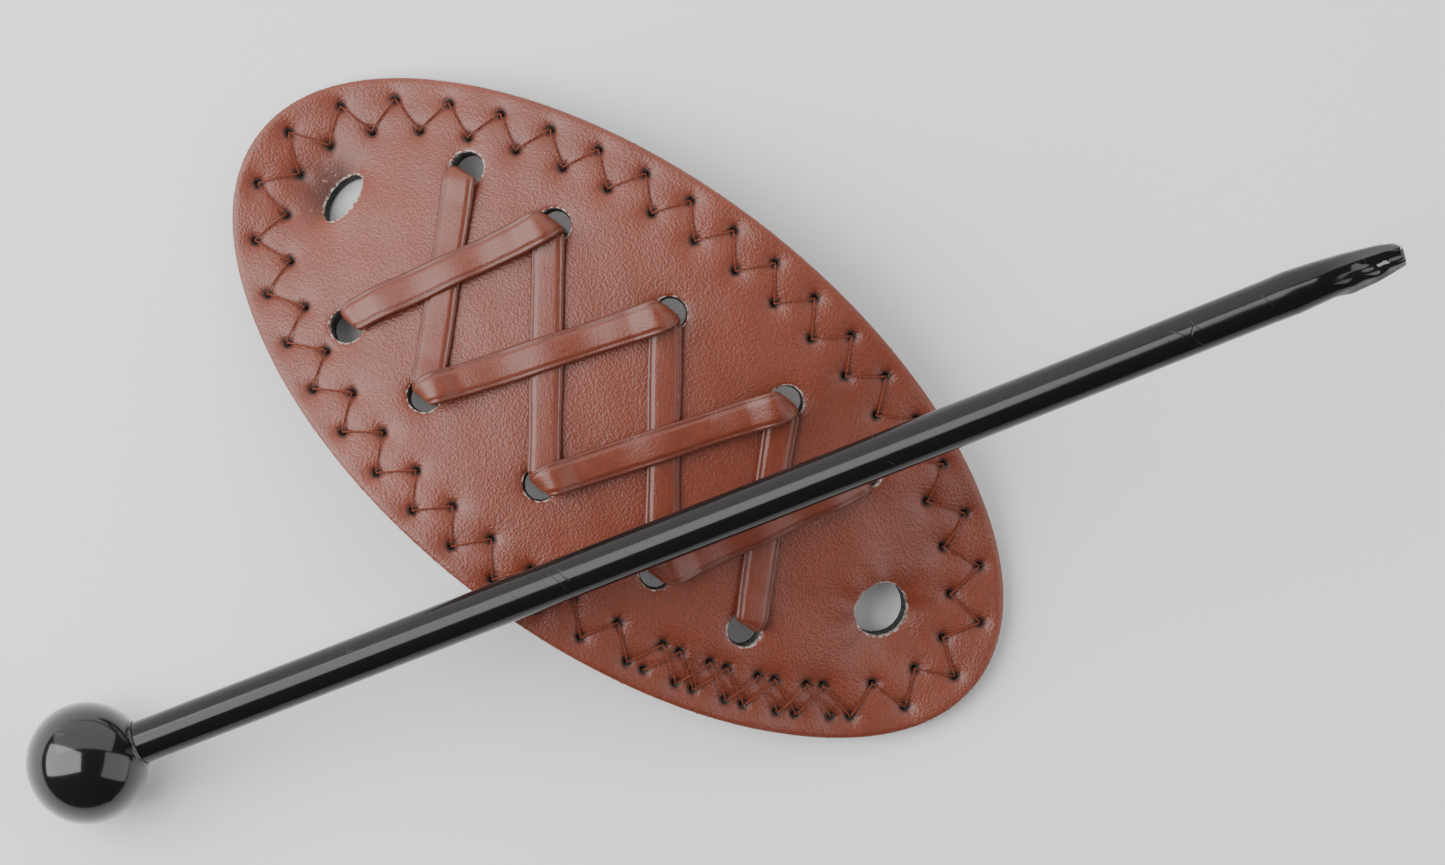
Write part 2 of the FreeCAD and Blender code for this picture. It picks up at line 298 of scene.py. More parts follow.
# The needle's places: half a pitch along the seam's middle each time, outer and inner row in turn
seam_outer, seam_depth, seam_step, seam_overlap = 2.6, 3.8, 3.15, 24.0
seam_start = math.radians(-66.0)
lap = 3600
seam_turns = seam_start + np.arange(lap * 3 // 2) * math.tau / lap
seam_run = run_length(oval(seam_turns, seam_outer + seam_depth / 2))
seam_at = np.searchsorted(seam_run, np.arange(0.0, seam_run[lap] + seam_overlap, seam_step))
seam_over = seam_at >= lap
stations = oval(seam_turns[seam_at], seam_outer + seam_depth * (np.arange(len(seam_at)) % 2))

stick_holes = np.array([(-42.4, 0.0), (40.6, 0.0)])
stick_hole_radius = 3.45
lace_hole_radius = 2.1
lace_xs = np.array([-32.4, -19.6, -1.8, 16.0, 28.8])
lace_rows = np.array([12.09, 13.0, 13.0, 13.0, 12.09])
lace_holes = np.array([(x, side * row) for x, row in zip(lace_xs, lace_rows) for side in (-1, 1)])
needle_hole_radius = 0.42
holes = np.concatenate([stick_holes, lace_holes, stations])
hole_counts = [len(stick_holes), len(lace_holes), len(stations)]
hole_radii = np.repeat([stick_hole_radius, lace_hole_radius, needle_hole_radius], hole_counts)
first_lace, first_needle = len(stick_holes), len(stick_holes) + len(lace_holes)


def bell(distance, reach):
    """1 at no distance, and e to the minus square of the distance over the reach away from it."""
    return np.exp(-(distance / reach) ** 2)


def away_from(points, spots):
    """The distance of every point from every spot."""
    return np.linalg.norm(points[:, None, :] - spots[None, :, :], axis=2)


def off_stitches(points):
    """Each point's distance from the nearest stitch, taken square to its line and not past its
    ends."""
    start, end = stations[:-1], stations[1:]
    along = end - start
    share = np.einsum("psk,sk->ps", points[:, None] - start[None], along) / (along ** 2).sum(1)
    foot = start[None] + np.clip(share, 0, 1)[..., None] * along[None]
    return np.linalg.norm(points[:, None] - foot, axis=2).min(1)


def edge_inset(points):
    """Roughly each point's distance from the oval's edge: what its ellipse equation lacks to 1,
    over that equation's slope."""
    x, y = points.T
    level = np.hypot(x / half_length, y / half_width) + 1e-9
    slope = np.hypot(x / half_length ** 2, y / half_width ** 2) / level
    return (1 - level) / slope


def sink(points):
    """How far all the layers are pushed down, and along X, round the stick holes: down most on the
    side away from the slide's middle, a little up on the other, and less with the distance from the
    hole. The left hole is also squeezed along X, and moved outwards, until it is a narrow oval."""
    down, along = np.zeros(len(points)), np.zeros(len(points))
    for hole, outer, inner, outer_along, inner_along, reach in (
        (stick_holes[0], 1.10, -0.45, 1.35, -1.75, 2.8),
        (stick_holes[1], 0.80, -0.35, -0.10, 0.35, 3.2),
    ):
        off = points - hole
        distance = np.linalg.norm(off, axis=1)
        outwards = (1 + off[:, 0] * np.sign(hole[0]) / np.maximum(distance, 1e-6)) / 2
        fade = np.exp(-((np.maximum(distance - stick_hole_radius, 0) / reach) ** 1.5))
        down += (inner + (outer - inner) * outwards) * fade
        along += (outer_along * outwards ** 1.5 + inner_along * (1 - outwards) ** 1.5) * fade
    return down, along


def rings(centres, radii, sides):
    """Circles round the centres, each turned by half a step from the one inside it."""
    made = []
    for centre in centres:
        for k, radius in enumerate(radii):
            turns = np.arange(sides) * math.tau / sides + k * math.pi / sides
            made.append(centre + radius * np.stack([np.cos(turns), np.sin(turns)], -1))
    return np.concatenate(made)


# Points of the sheet: rows inside the edge, rings round every hole, and an even spread between
edge_samples = 4000
edge_turns = np.linspace(0, math.tau, edge_samples)
edge_run = run_length(oval(edge_turns, 0.0))
border_insets = [0.0, 0.12, 0.3, 0.55, 0.85] + list(np.arange(1.2, 10.2, 0.36))
spread_inset = 10.3
border = []
for k, inset in enumerate(border_insets):
    spacing = 0.30 if inset < 0.5 else 0.38
    count = int(edge_run[-1] / spacing * (1 - 0.012 * inset))
    share = (np.arange(count) + 0.5 * (k % 2)) / count * edge_run[-1]
    border.append(oval(np.interp(share, edge_run, edge_turns), inset))
needle_steps = np.array([0.0, 0.1, 0.22, 0.38, 0.58])
lace_steps = np.array([0.0, 0.12, 0.28, 0.5, 0.8])
stick_steps = np.array([0.0, 0.12, 0.3, 0.55, 0.9, 1.3, 1.75])
lace_hole_sides = 44
needle_rings = rings(stations, needle_hole_radius + needle_steps, 14)
lace_rings = rings(lace_holes, lace_hole_radius + lace_steps, lace_hole_sides)
stick_rings = rings(stick_holes, stick_hole_radius + stick_steps, 64)
spread_x, spread_y = 0.62, 0.54
spread = np.stack(np.meshgrid(np.arange(-46, 46, spread_x), np.arange(-19, 19, spread_y)), -1)
spread[1::2, :, 0] += spread_x / 2
spread = spread.reshape(-1, 2)
spread = spread[edge_inset(spread) > spread_inset]
ring_reach = np.repeat([2.0, 1.0, 0.78], hole_counts)
filling = np.concatenate(border[1:] + [spread])
filling = filling[(away_from(filling, holes) > hole_radii + ring_reach).all(1)]
plan = np.concatenate([border[0], needle_rings, lace_rings, stick_rings, filling])
edge_count = len(border[0])
edge_links = [(k, (k + 1) % edge_count) for k in range(edge_count)]
laid = delaunay_2d_cdt([Vector(p) for p in plan.tolist()], edge_links, [], 0, 1e-6)
plan = np.array([tuple(p) for p in laid[0]])
triangles = np.array(laid[2])
middles = plan[triangles].mean(1)
flat_of_ring = 0.999 * math.cos(math.pi / lace_hole_sides)
inside = (away_from(middles, holes) > hole_radii * flat_of_ring).all(1)
triangles = triangles[inside & (edge_inset(middles) > 0.0)]
first_side = plan[triangles[:, 1]] - plan[triangles[:, 0]]
second_side = plan[triangles[:, 2]] - plan[triangles[:, 0]]
turning = first_side[:, 0] * second_side[:, 1] - first_side[:, 1] * second_side[:, 0]
triangles = np.where((turning > 0)[:, None], triangles, triangles[:, ::-1])

# How far the face is pulled down at each point. Round the needle holes it puckers and wrinkles,
# and it pillows between them; it is also rounded at its edge, funnelled into the stick holes and
# dipped at the lace holes. It swells and creases a little, and at three spots beside the right
# hole it rises.
rng = np.random.default_rng(7)
from_holes = away_from(plan, holes) - hole_radii
needle_gap = from_holes[:, first_needle:]
nearest = needle_gap.argmin(1)
to_nearest = plan - stations[nearest]
bearing = np.arctan2(to_nearest[:, 1], to_nearest[:, 0])
gap = np.maximum(needle_gap.min(1), 0)
wrinkle_phase = rng.uniform(0, math.tau, len(stations))[nearest]
pucker = 0.34 * np.exp(-((gap / 0.42) ** 1.3))
valley = 0.29 * bell(needle_gap + 0.4, 1.9).sum(1)
wrinkles = 0.035 * np.sin(5 * bearing + wrinkle_phase) * bell(gap, 0.9)
furrow = 0.09 * bell(off_stitches(plan), 0.42)
inset = np.maximum(edge_inset(plan), 0)
rounded = 0.30 * np.exp(-inset / 0.28)
left_gap, right_gap = np.maximum(from_holes[:, :first_lace], 0).T
left_bearing, right_bearing = (
    np.arctan2(plan[:, 1], plan[:, 0] - hole[0]) for hole in stick_holes
)
left_outer = np.clip(-np.cos(left_bearing), 0, 1)
funnel = (0.35 + 0.45 * left_outer) * np.exp(-left_gap / 2.2) + 0.40 * np.exp(-right_gap / 1.0)
lace_gap = np.maximum(from_holes[:, first_lace:first_needle], 0)
lace_dip = (0.22 * np.exp(-lace_gap / 0.35) + 0.10 * bell(lace_gap, 1.6)).max(1)
swell = 0.04 * np.sin(plan[:, 0] * 0.61 + 1.3) * np.sin(plan[:, 1] * 0.83 - 0.4)
for spot, height, reach in (
    ((34.5, 3.5), 0.42, 4.2),
    ((45.8, -7.0), 0.30, 2.8),
    ((36.0, -9.0), 0.22, 3.0),
):
    swell = swell - height * np.exp(-((plan - spot) ** 2).sum(1) / reach ** 2)
swell += 0.07 * np.sin(9 * right_bearing + 2.0) * bell(right_gap - 1.7, 1.6)
creases = 0.09 * np.sin(11 * left_bearing + 0.8) * bell(left_gap - 1.2, 1.3) * left_outer
deepest = 0.9
drop = pucker + valley + wrinkles + furrow + rounded + funnel + lace_dip + swell + creases
drop = np.minimum(drop, deepest)
sunk, pushed = sink(plan)

# The cut wall, all round the oval and the holes
links = np.concatenate([triangles[:, [0, 1]], triangles[:, [1, 2]], triangles[:, [2, 0]]])
lone = np.sort(links, axis=1)
_, first, times = np.unique(lone, axis=0, return_index=True, return_counts=True)
rim = links[first[times == 1]]
rim_points, rim_where = np.unique(rim, return_inverse=True)
rim_where = rim_where.reshape(rim.shape)
rim_plan = plan[rim_points]
hole_of = away_from(rim_plan, holes).argmin(1)
from_hole = rim_plan - holes[hole_of]
on_rim = 0.02
at_hole = np.abs(np.linalg.norm(from_hole, axis=1) - hole_radii[hole_of]) < on_rim
outward = np.where(at_hole[:, None], -from_hole, rim_plan)
outward = outward / np.linalg.norm(outward, axis=1, keepdims=True)
at_needle = at_hole & (hole_of >= first_needle)
at_lace = at_hole & (hole_of >= first_lace) & (hole_of < first_needle)
fibre_width = 0.025


def die_cut(top, low, proud_steps, closing=0.0):
    """A layer of the laminate between the heights top and low: the plan's triangles above and
    below, and rings down the cut wall between them, each standing proud by its step and ragged by
    a fibre's width. A needle hole's wall closes in on the thread by closing times half a sine, and
    a lace hole's by 0.7 of that. The mask is true on the wall, but for the needle holes."""
    count, rim_count = len(plan), len(rim_points)
    parts = [bend(plan[:, 0] + pushed, plan[:, 1], h - sunk) for h in (top, low)]
    rows = [rim_points[rim_where]]
    for k, proud in enumerate(proud_steps):
        share = (k + 1) / (len(proud_steps) + 1)
        closed = closing * math.sin(share * math.pi)
        ragged = (proud + rng.normal(0, fibre_width, rim_count)) * np.where(at_hole, 0.4, 1.0)
        ragged = np.where(at_needle, closed, ragged)
        ragged = np.where(at_lace, 0.7 * closed + ragged, ragged)
        moved = rim_plan + outward * ragged[:, None]
        moved[:, 0] += pushed[rim_points]
        h = top[rim_points] * (1 - share) + low[rim_points] * share - sunk[rim_points]
        parts.append(bend(moved[:, 0], moved[:, 1], h))
        rows.append(2 * count + k * rim_count + rim_where)
    rows.append(rim_points[rim_where] + count)
    quads = np.concatenate(
        [np.stack([b[:, 0], b[:, 1], a[:, 1], a[:, 0]], 1) for a, b in zip(rows, rows[1:])]
    )
    faces = np.concatenate([triangles, triangles[:, ::-1] + count, halved(quads)])
    wide_cut = np.tile(~at_needle[rim_where].all(1), 2 * len(proud_steps) + 2)
    on_wall = np.concatenate([np.zeros(2 * len(triangles), bool), wide_cut])
    return np.concatenate(parts), faces, on_wall


# The board lies between these heights over the slide's lower face, a hair from its neighbours
board_low, board_high, glue_gap = 0.8, face_level, 0.01
flat = np.zeros(len(plan))
face_proud = (0.02, -0.03, 0.03)
face_points, face_faces, is_wall = die_cut(
    slide_thickness - drop, flat + board_high + glue_gap, face_proud
)
cut_gap = np.minimum(inset + 0.15, np.maximum(from_holes[:, :first_needle], 0).min(1))
# Painted shade: this mark darkens the funnel on the left stick hole's outer side, where the face
# slopes into the hole, and it also places the real pale stretch cracks there.
stretch_and_funnel_shade = left_outer * bell(left_gap, 2.4)
# Painted shade: a dark ring round each needle hole on the face, and, through the 'hole' mark, the
# needle holes' walls painted dark as well.
needle_hole_shade = np.exp(-((gap / 0.30) ** 1.6)) * 0.95


def for_all(values, on_wall=np.zeros(len(rim_points))):
    """A mark for the face's top, its underside and its rings of wall."""
    return np.concatenate([values, values, np.tile(on_wall, len(face_proud))])


leather = Finish("brown_leather", Specular_IOR_Level=0.65, Sheen_Weight=0.04, Sheen_Roughness=0.4)
pebbles = leather.cells(3100.0)
grain = pebbles + 0.2 * leather.noise(900.0, 1.0)
patches = leather.noise(70.0, 3.0)
stretched_and_funnel_shaded, in_needle_hole_shade = leather.mark("stretch_and_funnel_shade"), leather.mark("hole")
cracks = stretched_and_funnel_shaded * leather.noise(1500.0, 4.0).step(0.63, 0.68)
tone = patches.step(0.3, 0.7).blend((0.158, 0.0282, 0.0102), (0.184, 0.0345, 0.0135))
# Painted shade: the pits of the pebbled grain are coloured darker.
tone = ((1 - pebbles.step(0.1, 0.6)) * 0.65).blend(tone, (0.092, 0.0160, 0.0064))
# Painted shade on the funnel beside the left stick hole.
tone = stretched_and_funnel_shaded.blend(tone, (0.062, 0.0115, 0.0045))
tone = cracks.blend(tone, (0.26, 0.12, 0.09))
# Painted shade in and round the needle holes.
tone = in_needle_hole_shade.blend(tone, (0.012, 0.005, 0.004))
fray = (1 - leather.mark("cut_gap").step(0.05, 0.26)) * leather.noise(1900.0, 3.0).step(0.45, 0.57)
leather.feed(
    Base_Color=fray.blend(tone, (0.44, 0.38, 0.34)),
    Roughness=0.36 + 0.12 * leather.noise(420.0, 3.0) + 0.25 * in_needle_hole_shade + 0.22 * stretched_and_funnel_shaded,
)
leather.bump((leather.noise(180.0, 1.0), 0.00003), (grain, 0.000048))
backing = Finish("leather_backing", Roughness=0.95)
backing_fibre = backing.noise(2600.0, 4.0)
backing.feed(
    Base_Color=backing_fibre.step(0.35, 0.65).blend((0.10, 0.085, 0.08), (0.50, 0.45, 0.42))
)
backing.bump((backing_fibre, 0.00015))
build(
    "front_panel_leather", face_points, face_faces, leather, "slide",
    ["front_panel"],
    {
        "cut_gap": for_all(cut_gap),
        "stretch_and_funnel_shade": for_all(stretch_and_funnel_shade),
        "hole": for_all(needle_hole_shade, at_needle),
    },
    (backing, is_wall),
)

# ---------------------------------------------------------------------------------------------
# The stiffener and the lining: a dark fibre board, seen in the holes' walls, and a smooth black
# sheet glued behind it. Both are die-cut flat and take their bend when the three layers are glued
# and sewn.
board = Finish("dark_board", Roughness=0.85)
board_fibre = board.noise(1500.0, 5.0)
board.feed(
    Base_Color=board_fibre.step(0.3, 0.7).blend((0.020, 0.019, 0.018), (0.062, 0.058, 0.055))
)
board.bump((board_fibre, 0.0001))
lining = Finish("dark_lining", Specular_IOR_Level=0.4)
lining_cloud = lining.noise(180.0, 4.0)
lining.feed(
    Base_Color=lining_cloud.step(0.3, 0.7).blend((0.013, 0.012, 0.012), (0.026, 0.024, 0.023)),
    Roughness=0.5 + 0.15 * lining.noise(600.0),
)
lining.bump((lining.cells(1300.0), 0.00005))
board_points, board_faces, _ = die_cut(
    flat + board_high, flat + board_low, (0.03, -0.02, 0.02), closing=0.32
)
build(
    "stiffener_board", board_points, board_faces, board, "slide", ["stiffener"]
)
furrows = 0.02 + 0.45 * bell(off_stitches(plan), 0.34) + 0.10 * np.exp(-inset / 0.2)
lining_points, lining_faces, _ = die_cut(flat + board_low - glue_gap, furrows, (0.0, 0.0))
build(
    "back_lining_sheet", lining_points, lining_faces, lining, "slide",
    ["back_lining"],
)

# ---------------------------------------------------------------------------------------------
# The zigzag seam: a rust-brown two-ply thread on the face and another behind, locked together in
# the board at every needle hole. The last stitches go over the first ones, and a frayed end is
# left there.


def square_to(path):
    """Two directions square to a path, and to each other, at each of its points."""
    ahead = np.gradient(path, axis=0)
    ahead = ahead / np.linalg.norm(ahead, axis=1, keepdims=True)
    aside = np.cross(ahead, np.array([0.37, -0.81, 0.45]))
    aside = aside / np.linalg.norm(aside, axis=1, keepdims=True)
    return aside, np.cross(ahead, aside)


ply_sides = 5


def ply_tube(path, radius):
    """A tube along a path as points and triangles: each ring is the path's point plus radius times
    cosine and sine of the turn along two directions square to the path. A point closes each end."""
    aside, third = (side[:, None] for side in square_to(path))
    turns = (np.arange(ply_sides) * math.tau / ply_sides)[None, :, None]
    ring = np.cos(turns) * aside + np.sin(turns) * third
    points = (path[:, None] + radius * ring).reshape(-1, 3)
    low = np.arange(ply_sides)
    high = low + len(points) - ply_sides
    caps = [
        np.stack([np.roll(low, -1), low, np.full(ply_sides, len(points))], -1),
        np.stack([high, np.roll(high, -1), np.full(ply_sides, len(points) + 1)], -1),
    ]
    faces = np.concatenate([halved(grid_quads(len(path), ply_sides)), *caps])
    return np.concatenate([points, path[:1], path[-1:]]), faces


def joined(tubes):
    """Several tubes as one list of points and triangles."""
    points, faces, base = [], [], 0
    for tube_points, tube_faces in tubes:
        points.append(tube_points)
        faces.append(tube_faces + base)
        base += len(tube_points)
    return np.concatenate(points), np.concatenate(faces)


stitch_steps = 22


def seam_path(level, lift, lock):
    """The thread's line: over each stitch a squarish arch, whose plan share runs with the cosine
    of the turn to the power 0.75, and whose height is the sine to the power 0.3, down to the lock
    at either end."""
    turn = np.linspace(0, math.pi, stitch_steps, endpoint=False)
    share = (1 - np.sign(np.cos(turn)) * np.abs(np.cos(turn)) ** 0.75) / 2
    rise = np.sin(turn) ** 0.30
    start, end = stations[:-1, None], stations[1:, None]
    plan_line = (start + (end - start) * share[None, :, None]).reshape(-1, 2)
    raised = np.where(seam_over[:-1], lift, 0.0)[:, None]
    height = (lock + (level + raised - lock) * rise[None]).reshape(-1)
    down, along = sink(plan_line)
    return bend(plan_line[:, 0] + along, plan_line[:, 1], height - down)


def two_ply(line, radius, lay, spacing):
    """Two strands that wind round the line: each is its point plus an offset that turns once in a
    lay."""
    run = run_length(line)
    even = np.arange(0, run[-1], spacing)
    line = np.stack([np.interp(even, run, line[:, k]) for k in range(3)], -1)
    aside, third = square_to(line)
    strands = []
    for phase in (0.0, math.pi):
        turn = (even / lay * math.tau + phase)[:, None]
        wound = line + 0.55 * radius * (np.cos(turn) * aside + np.sin(turn) * third)
        strands.append(ply_tube(wound, radius * 0.62))
    return strands


thread_finish = Finish("rust_thread", Specular_IOR_Level=0.4)
thread_fuzz = thread_finish.noise(5200.0, 3.0)
thread_finish.feed(
    Base_Color=thread_fuzz.step(0.3, 0.7).blend((0.105, 0.019, 0.0078), (0.215, 0.045, 0.0165)),
    Roughness=0.55 + 0.2 * thread_fuzz,
)
thread_finish.bump((thread_fuzz, 0.00004))
needle_parts = two_ply(seam_path(3.05, 0.20, 1.9), 0.115, 0.95, 0.17)
tail_rng = np.random.default_rng(3)
tail_root, tail_wisps, wisp_radius = np.array([25.6, -18.9]), 9, 0.045
for k in range(tail_wisps):
    along = np.linspace(0, 1, 14)
    root = tail_root + tail_rng.normal(0, 0.25, 2)
    bearing = k * 0.9 - 0.6
    reach = tail_rng.uniform(1.4, 3.4) * np.array([math.cos(bearing), math.sin(bearing)])
    curl = tail_rng.uniform(-0.7, 0.7, 2)
    wisp = root + along[:, None] * reach + (along ** 2)[:, None] * curl
    arch = np.sin(along * math.pi * tail_rng.uniform(0.6, 0.95))
    height = 3.15 + 0.7 * arch * tail_rng.uniform(0.3, 1.0)
    needle_parts.append(ply_tube(bend(wisp[:, 0], wisp[:, 1], height), wisp_radius))
needle_points, needle_faces = joined(needle_parts)
build(
    "needle_thread_seam", needle_points, needle_faces, thread_finish, "slide",
    ["needle_thread"],
)
bobbin_points, bobbin_faces = joined(two_ply(seam_path(0.25, 0.0, 1.4), 0.16, 1.15, 0.24))
build(
    "bobbin_thread_seam", bobbin_points, bobbin_faces, thread_finish, "slide",
    ["bobbin_thread"],
)

# ---------------------------------------------------------------------------------------------
# The lace: one flat strip of the same imitation leather, its edges rolled in so that it is domed,
# that goes down one side of the ten holes and back up the other, so its two families of runs
# cross.
lace_width, lace_leg_width, lace_thickness = 4.2, 3.1, 0.9
inner_leg, outer_leg = 0.917, -0.033
lower_height, upper_height = 0.5, 1.45
inner_bend, outer_bend = 0.80, 1.75
lace_settle, outer_crest = 3.5, 0.8
upper_sag, lower_sag = 0.42, 0.105
last_pair = len(lace_xs) - 1


def half_lace(leg, outer, ahead, outward, height, reach):
    """Half a run from the middle of a hole to the middle of the run, as arrays: plan points,
    heights over the slide's lower face, and a share from leg to run. A leg goes straight up, a
    quarter circle turns it over, a smooth step lets it settle on the surface, and the rest sags a
    little."""
    surface = slide_thickness if outward > 0 else 0.0
    radius = outer_bend if outer else inner_bend
    crest = surface + outward * (outer_crest if outer else 0.0)
    leg_h = np.linspace(slide_thickness / 2, crest, 7)[:-1]
    turn = np.linspace(0, math.pi / 2, 10)
    settle = np.linspace(0, 1, 14)[1:]
    level = np.linspace(0, 1, 16)[1:]
    settled = settle * settle * (3 - 2 * settle)
    sag = np.sin(level * math.pi) ** 2 * (upper_sag if height == upper_height else lower_sag)
    distance = np.concatenate([
        0 * leg_h,
        radius * (1 - np.cos(turn)),
        radius + lace_settle * settle,
        radius + lace_settle + (reach - radius - lace_settle) * level,
    ])
    peak = crest + outward * radius
    rest = surface + outward * height
    heights = np.concatenate([
        leg_h,
        crest + outward * radius * np.sin(turn),
        peak + (rest - peak) * settled,
        rest - outward * sag,
    ])
    share = np.concatenate([0 * leg_h, turn / (math.pi / 2), 1 + 0 * settle, 1 + 0 * level])
    return leg[None] + ahead[None] * distance[:, None], heights, share


def lace_run(start_pair, start_side, end_pair, end_side, upper, front):
    """A whole run as one stretch of the closed lace, in the direction of travel."""
    legs = []
    for pair, side in ((start_pair, start_side), (end_pair, end_side)):
        outer = upper and 0 < pair < last_pair
        inward = outer_leg if outer else inner_leg
        legs.append((np.array([lace_xs[pair], side * (lace_rows[pair] - inward)]), outer))
    span = legs[1][0] - legs[0][0]
    half = np.linalg.norm(span) / 2
    ahead = span / (2 * half)
    run_across = np.array([-ahead[1], ahead[0]])
    run_across = run_across * np.sign(run_across[0])
    outward = 1 if front else -1
    stacked = upper and (front or 0 < start_pair < last_pair)
    height = upper_height if stacked else lower_height
    first = half_lace(*legs[0], ahead, outward, height, half)
    second = half_lace(*legs[1], -ahead, outward, height, half)
    line = np.concatenate([first[0], second[0][-2::-1]])
    heights = np.concatenate([first[1], second[1][-2::-1]])
    share = np.concatenate([first[2], second[2][-2::-1]])[:, None]
    across = np.array([1.0, 0.0]) * (1 - share) + run_across * share
    return line[:-1], heights[:-1], across[:-1], share[:-1, 0]


runs = []
for pair in range(last_pair):
    runs.append(lace_run(pair, 1, pair + 1, -1, False, True))
    runs.append(lace_run(pair + 1, -1, pair + 1, 1, False, False))
for pair in range(last_pair, 0, -1):
    runs.append(lace_run(pair, 1, pair - 1, -1, True, True))
    runs.append(lace_run(pair - 1, -1, pair - 1, 1, True, False))
lace_plan, lace_h, lace_across, lace_share = [np.concatenate(part) for part in zip(*runs)]
lace_line = np.concatenate([lace_plan, lace_h[:, None]], 1)


def smoothed(values):
    """Half of each value and a quarter of either neighbour's, round the closed lace."""
    return 0.25 * np.roll(values, -1, axis=0) + 0.5 * values + 0.25 * np.roll(values, 1, axis=0)


lace_line = smoothed(smoothed(lace_line))
lace_ahead = np.roll(lace_line, -1, axis=0) - np.roll(lace_line, 1, axis=0)
lace_ahead /= np.linalg.norm(lace_ahead, axis=1, keepdims=True)
wide = np.pad(lace_across, ((0, 0), (0, 1)))
wide -= (wide * lace_ahead).sum(1, keepdims=True) * lace_ahead
wide /= np.linalg.norm(wide, axis=1, keepdims=True)
through = np.cross(lace_ahead, wide)
# The path goes round the slide like a rope round a rod, so the side that faces out is the same
# along it, and one sign turns the strip's domed side outwards
surface_side = np.where(lace_h > slide_thickness / 2, 1.0, -1.0)
outer_sign = np.sign((through[:, 2] * surface_side)[np.abs(through[:, 2]) > 0.9])
through *= outer_sign.mean() / abs(outer_sign.mean())
lace_travel = run_length(lace_line)
spots = np.sin(np.linspace(-math.pi / 2, math.pi / 2, 25))
half_thick = lace_thickness / 2 * np.sqrt(np.maximum(1 - np.abs(spots) ** 5, 0))
dome = half_thick - 0.05 * spots ** 2 - 0.18 * bell(np.abs(spots) - 0.74, 0.07)
profile_u = np.concatenate([spots, spots[-2:0:-1]])
profile_v = np.concatenate([dome, -half_thick[-2:0:-1]])
lace_sides = len(profile_u)
half_widths = smoothed((lace_leg_width + (lace_width - lace_leg_width) * lace_share) / 2)
half_widths += 0.05 * np.sin(lace_travel * 0.35) - 0.03
twist = 0.015 * np.sin(lace_travel * 1.9)
along_u = (profile_u[None] * half_widths[:, None])[..., None]
along_v = (profile_v[None] + twist[:, None] * profile_u[None])[..., None]
# A step along the slide is shorter along X in the plan, by the cosine of the slope
shrink = np.ones((len(lace_line), 1, 3))
shrink[:, 0, 0] = np.cos(tilt_of(lace_line[:, 0]))
offset = wide[:, None] * along_u + through[:, None] * along_v
laid_lace = lace_line[:, None] + offset * shrink
lace_points = bend(*np.moveaxis(laid_lace, -1, 0)).reshape(-1, 3)
lace_faces = grid_quads(len(lace_line), lace_sides, closed=True)[:, [0, 3, 2, 1]]
# Painted shade: the lace's rolled edges and the grooves inside them are coloured darker.
rolled_edge_shade = np.tile(np.clip((np.abs(profile_u) - 0.60) / 0.16, 0, 1), len(lace_line))
lace_across_mark = np.tile(profile_u, len(lace_line))
lace_along_mark = np.repeat(lace_travel, lace_sides)
lace_leg_mark = np.repeat(1 - np.clip(lace_share, 0, 1), lace_sides)
lace_finish = Finish("brown_lace", Specular_IOR_Level=0.62, Sheen_Weight=0.03, Sheen_Roughness=0.4)
lengthwise = lace_finish.node(
    "ShaderNodeCombineXYZ",
    {"X": lace_finish.mark("across") * 2.1, "Y": lace_finish.mark("along") * 0.12},
)
streaks = lace_finish.noise(3.4, 4.0, lengthwise)
lace_tone = streaks.step(0.3, 0.75).blend((0.138, 0.0240, 0.0088), (0.172, 0.0315, 0.0122))
# Painted shade along the lace's rolled edges.
lace_tone = (lace_finish.mark("rolled_edge_shade") * 0.7).blend(lace_tone, (0.095, 0.019, 0.009))
lace_tone = (lace_finish.mark("leg") * 0.7).blend(lace_tone, (0.140, 0.033, 0.012))
lace_tone = (lace_finish.noise(1200.0).step(0.4, 0.75) * 0.25).blend(
    lace_tone, (0.105, 0.024, 0.012)
)
lace_finish.feed(
    Base_Color=lace_tone,
    Roughness=0.35 + 0.09 * streaks,
)
lace_finish.bump((streaks, 0.000022), (lace_finish.cells(3100.0), 0.00002))
build(
    "lace_strip", lace_points, lace_faces, lace_finish, "slide", ["lace"],
    {
        "rolled_edge_shade": rolled_edge_shade,
        "across": lace_across_mark,
        "along": lace_along_mark,
        "leg": lace_leg_mark,
    },
)

# ---------------------------------------------------------------------------------------------
# The stick's shaft: a round rod of glossy black plastic, slightly bowed. Its last part was softened
# and drawn out, then pinched flat between two jaws, which left ridges and a thin flash along its
# lower side.
ball_middle = np.array([-25.06, -73.66, 7.5])
stick_turn, stick_rise = math.radians(58.6), math.radians(11.23)
stick_ahead = np.array([
    math.cos(stick_turn) * math.cos(stick_rise),
    math.sin(stick_turn) * math.cos(stick_rise),
    math.sin(stick_rise),
])
stick_aside = np.array([-math.sin(stick_turn), math.cos(stick_turn), 0.0])
stick_up = np.cross(stick_ahead, stick_aside)
shaft_radius, ball_radius = 2.65, 7.5
shaft_foot, tip_end, tip_bow = 6.2, 172.5, 0.85


def on_stick(along, aside, above):
    """Points at distances along, beside and above the stick's own line from the ball's middle."""
    bow = tip_bow * (np.clip(along, 0, None) / tip_end) ** 3
    return (
        ball_middle
        + along[..., None] * stick_ahead
        + (aside + bow)[..., None] * stick_aside
        + above[..., None] * stick_up
    )


def ease(value, low, high):
    """0 below low, 1 above high, and a smooth step between."""
    share = np.clip((value - low) / (high - low), 0, 1)
    return share * share * (3 - 2 * share)


